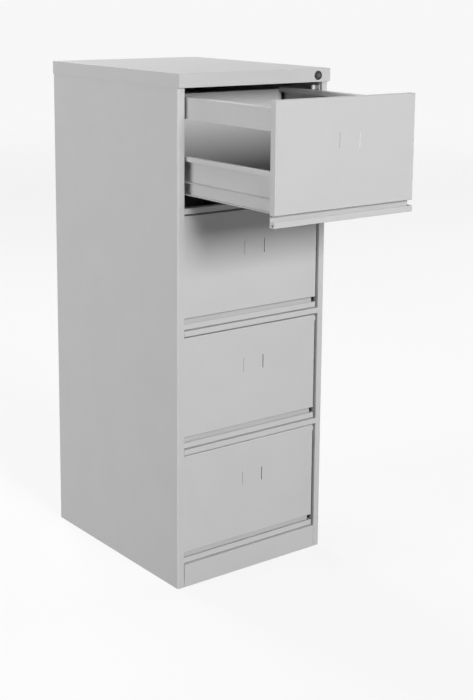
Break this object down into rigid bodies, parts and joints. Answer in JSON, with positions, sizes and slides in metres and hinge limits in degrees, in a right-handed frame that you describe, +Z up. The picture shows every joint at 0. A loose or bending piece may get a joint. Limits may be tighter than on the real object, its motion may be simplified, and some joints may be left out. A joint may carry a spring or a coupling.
{
  "type": "filing cabinet",
  "caption": "Upright steel filing cabinet with full-width suspension-file drawers on nylon rollers, a finger recess along each front and a key lock under the top",
  "frame": {"origin": "centre of the cabinet body's footprint, on the floor", "axes": "+Z up, -Y the front where the drawers open, +X the right-hand side seen from the front"},
  "size_m": [0.482, 0.952, 1.33],
  "materials": {
    "light_grey_enamel": "light grey baked enamel over folded sheet steel, satin",
    "zinc_plated_steel": "bright zinc plating over rolled steel",
    "white_nylon": "natural white moulded nylon",
    "blackened_zinc": "black coated die-cast zinc, satin"
  },
  "bodies": {
    "cabinet": {"left_side_panel": "light_grey_enamel", "right_side_panel": "light_grey_enamel", "back_panel": "light_grey_enamel", "top_cap": "light_grey_enamel", "bottom_pan": "light_grey_enamel", "kick_plate": "light_grey_enamel", "top_rail": "light_grey_enamel", "cross_rail_1": "light_grey_enamel", "cross_rail_2": "light_grey_enamel", "cross_rail_3": "light_grey_enamel", "cabinet_runner_1_right": "zinc_plated_steel", "cabinet_runner_1_left": "zinc_plated_steel", "cabinet_runner_2_right": "zinc_plated_steel", "cabinet_runner_2_left": "zinc_plated_steel", "cabinet_runner_3_right": "zinc_plated_steel", "cabinet_runner_3_left": "zinc_plated_steel", "cabinet_runner_4_right": "zinc_plated_steel", "cabinet_runner_4_left": "zinc_plated_steel", "file_rail_glides": "white_nylon", "lock_bar_guides": "white_nylon", "lock_housing": "blackened_zinc", "lock_nut": "zinc_plated_steel"},
    "lock_plug": {"lock_plug": "blackened_zinc"},
    "lock_bar": {"lock_bar": "zinc_plated_steel"},
    "drawer_1": {"drawer_1_front": "light_grey_enamel", "drawer_1_pull": "light_grey_enamel", "drawer_1_tray": "light_grey_enamel", "drawer_1_back": "light_grey_enamel", "drawer_1_file_rails": "light_grey_enamel", "drawer_1_runner_right": "light_grey_enamel", "drawer_1_runner_left": "light_grey_enamel"},
    "front_rollers_1": {"front_rollers_1": "white_nylon"},
    "rear_rollers_1": {"drawer_1_rear_rollers": "white_nylon"},
    "drawer_2": {"drawer_2_front": "light_grey_enamel", "drawer_2_pull": "light_grey_enamel", "drawer_2_tray": "light_grey_enamel", "drawer_2_back": "light_grey_enamel", "drawer_2_file_rails": "light_grey_enamel", "drawer_2_runner_right": "light_grey_enamel", "drawer_2_runner_left": "light_grey_enamel"},
    "front_rollers_2": {"front_rollers_2": "white_nylon"},
    "rear_rollers_2": {"drawer_2_rear_rollers": "white_nylon"},
    "drawer_3": {"drawer_3_front": "light_grey_enamel", "drawer_3_pull": "light_grey_enamel", "drawer_3_tray": "light_grey_enamel", "drawer_3_back": "light_grey_enamel", "drawer_3_file_rails": "light_grey_enamel", "drawer_3_runner_right": "light_grey_enamel", "drawer_3_runner_left": "light_grey_enamel"},
    "front_rollers_3": {"front_rollers_3": "white_nylon"},
    "rear_rollers_3": {"drawer_3_rear_rollers": "white_nylon"},
    "drawer_4": {"drawer_4_front": "light_grey_enamel", "drawer_4_pull": "light_grey_enamel", "drawer_4_tray": "light_grey_enamel", "drawer_4_back": "light_grey_enamel", "drawer_4_file_rails": "light_grey_enamel", "drawer_4_runner_right": "light_grey_enamel", "drawer_4_runner_left": "light_grey_enamel"},
    "front_rollers_4": {"front_rollers_4": "white_nylon"},
    "rear_rollers_4": {"drawer_4_rear_rollers": "white_nylon"}
  },
  "joints": [
    {"name": "drawer_1_slide", "type": "slide", "parent": "cabinet", "child": "drawer_1", "axis": [0, -1, 0], "range_m": [-0.357, 0.023]},
    {"name": "drawer_2_slide", "type": "slide", "parent": "cabinet", "child": "drawer_2", "axis": [0, -1, 0], "range_m": [0, 0.38]},
    {"name": "drawer_3_slide", "type": "slide", "parent": "cabinet", "child": "drawer_3", "axis": [0, -1, 0], "range_m": [0, 0.38]},
    {"name": "drawer_4_slide", "type": "slide", "parent": "cabinet", "child": "drawer_4", "axis": [0, -1, 0], "range_m": [0, 0.38]},
    {"name": "front_rollers_1_turn", "type": "hinge", "parent": "cabinet", "child": "front_rollers_1", "pos_m": [0, -0.2585, 1.0475], "axis": [1, 0, 0], "continuous": true},
    {"name": "rear_rollers_1_turn", "type": "hinge", "parent": "drawer_1", "child": "rear_rollers_1", "pos_m": [0, -0.172, 1.0475], "axis": [1, 0, 0], "continuous": true},
    {"name": "front_rollers_2_turn", "type": "hinge", "parent": "cabinet", "child": "front_rollers_2", "pos_m": [0, -0.2585, 0.7355], "axis": [1, 0, 0], "continuous": true},
    {"name": "rear_rollers_2_turn", "type": "hinge", "parent": "drawer_2", "child": "rear_rollers_2", "pos_m": [0, 0.185, 0.7355], "axis": [1, 0, 0], "continuous": true},
    {"name": "front_rollers_3_turn", "type": "hinge", "parent": "cabinet", "child": "front_rollers_3", "pos_m": [0, -0.2585, 0.4235], "axis": [1, 0, 0], "continuous": true},
    {"name": "rear_rollers_3_turn", "type": "hinge", "parent": "drawer_3", "child": "rear_rollers_3", "pos_m": [0, 0.185, 0.4235], "axis": [1, 0, 0], "continuous": true},
    {"name": "front_rollers_4_turn", "type": "hinge", "parent": "cabinet", "child": "front_rollers_4", "pos_m": [0, -0.2585, 0.1115], "axis": [1, 0, 0], "continuous": true},
    {"name": "rear_rollers_4_turn", "type": "hinge", "parent": "drawer_4", "child": "rear_rollers_4", "pos_m": [0, 0.185, 0.1115], "axis": [1, 0, 0], "continuous": true},
    {"name": "lock_turn", "type": "hinge", "parent": "cabinet", "child": "lock_plug", "pos_m": [0.1995, -0.307, 1.312], "axis": [0, 1, 0], "range_deg": [0, 90]},
    {"name": "lock_bar_slide", "type": "slide", "parent": "cabinet", "child": "lock_bar", "axis": [0, 0, -1], "range_m": [0, 0.01202]}
  ],
  "couplings": [
    {"joint": "front_rollers_1_turn", "follows": "drawer_1_slide", "rad_per_m": 68.966},
    {"joint": "rear_rollers_1_turn", "follows": "drawer_1_slide", "rad_per_m": 68.966},
    {"joint": "front_rollers_2_turn", "follows": "drawer_2_slide", "rad_per_m": 68.966},
    {"joint": "rear_rollers_2_turn", "follows": "drawer_2_slide", "rad_per_m": 68.966},
    {"joint": "front_rollers_3_turn", "follows": "drawer_3_slide", "rad_per_m": 68.966},
    {"joint": "rear_rollers_3_turn", "follows": "drawer_3_slide", "rad_per_m": 68.966},
    {"joint": "front_rollers_4_turn", "follows": "drawer_4_slide", "rad_per_m": 68.966},
    {"joint": "rear_rollers_4_turn", "follows": "drawer_4_slide", "rad_per_m": 68.966},
    {"joint": "lock_turn", "follows": "lock_bar_slide", "rad_per_m": 130.67}
  ]
}
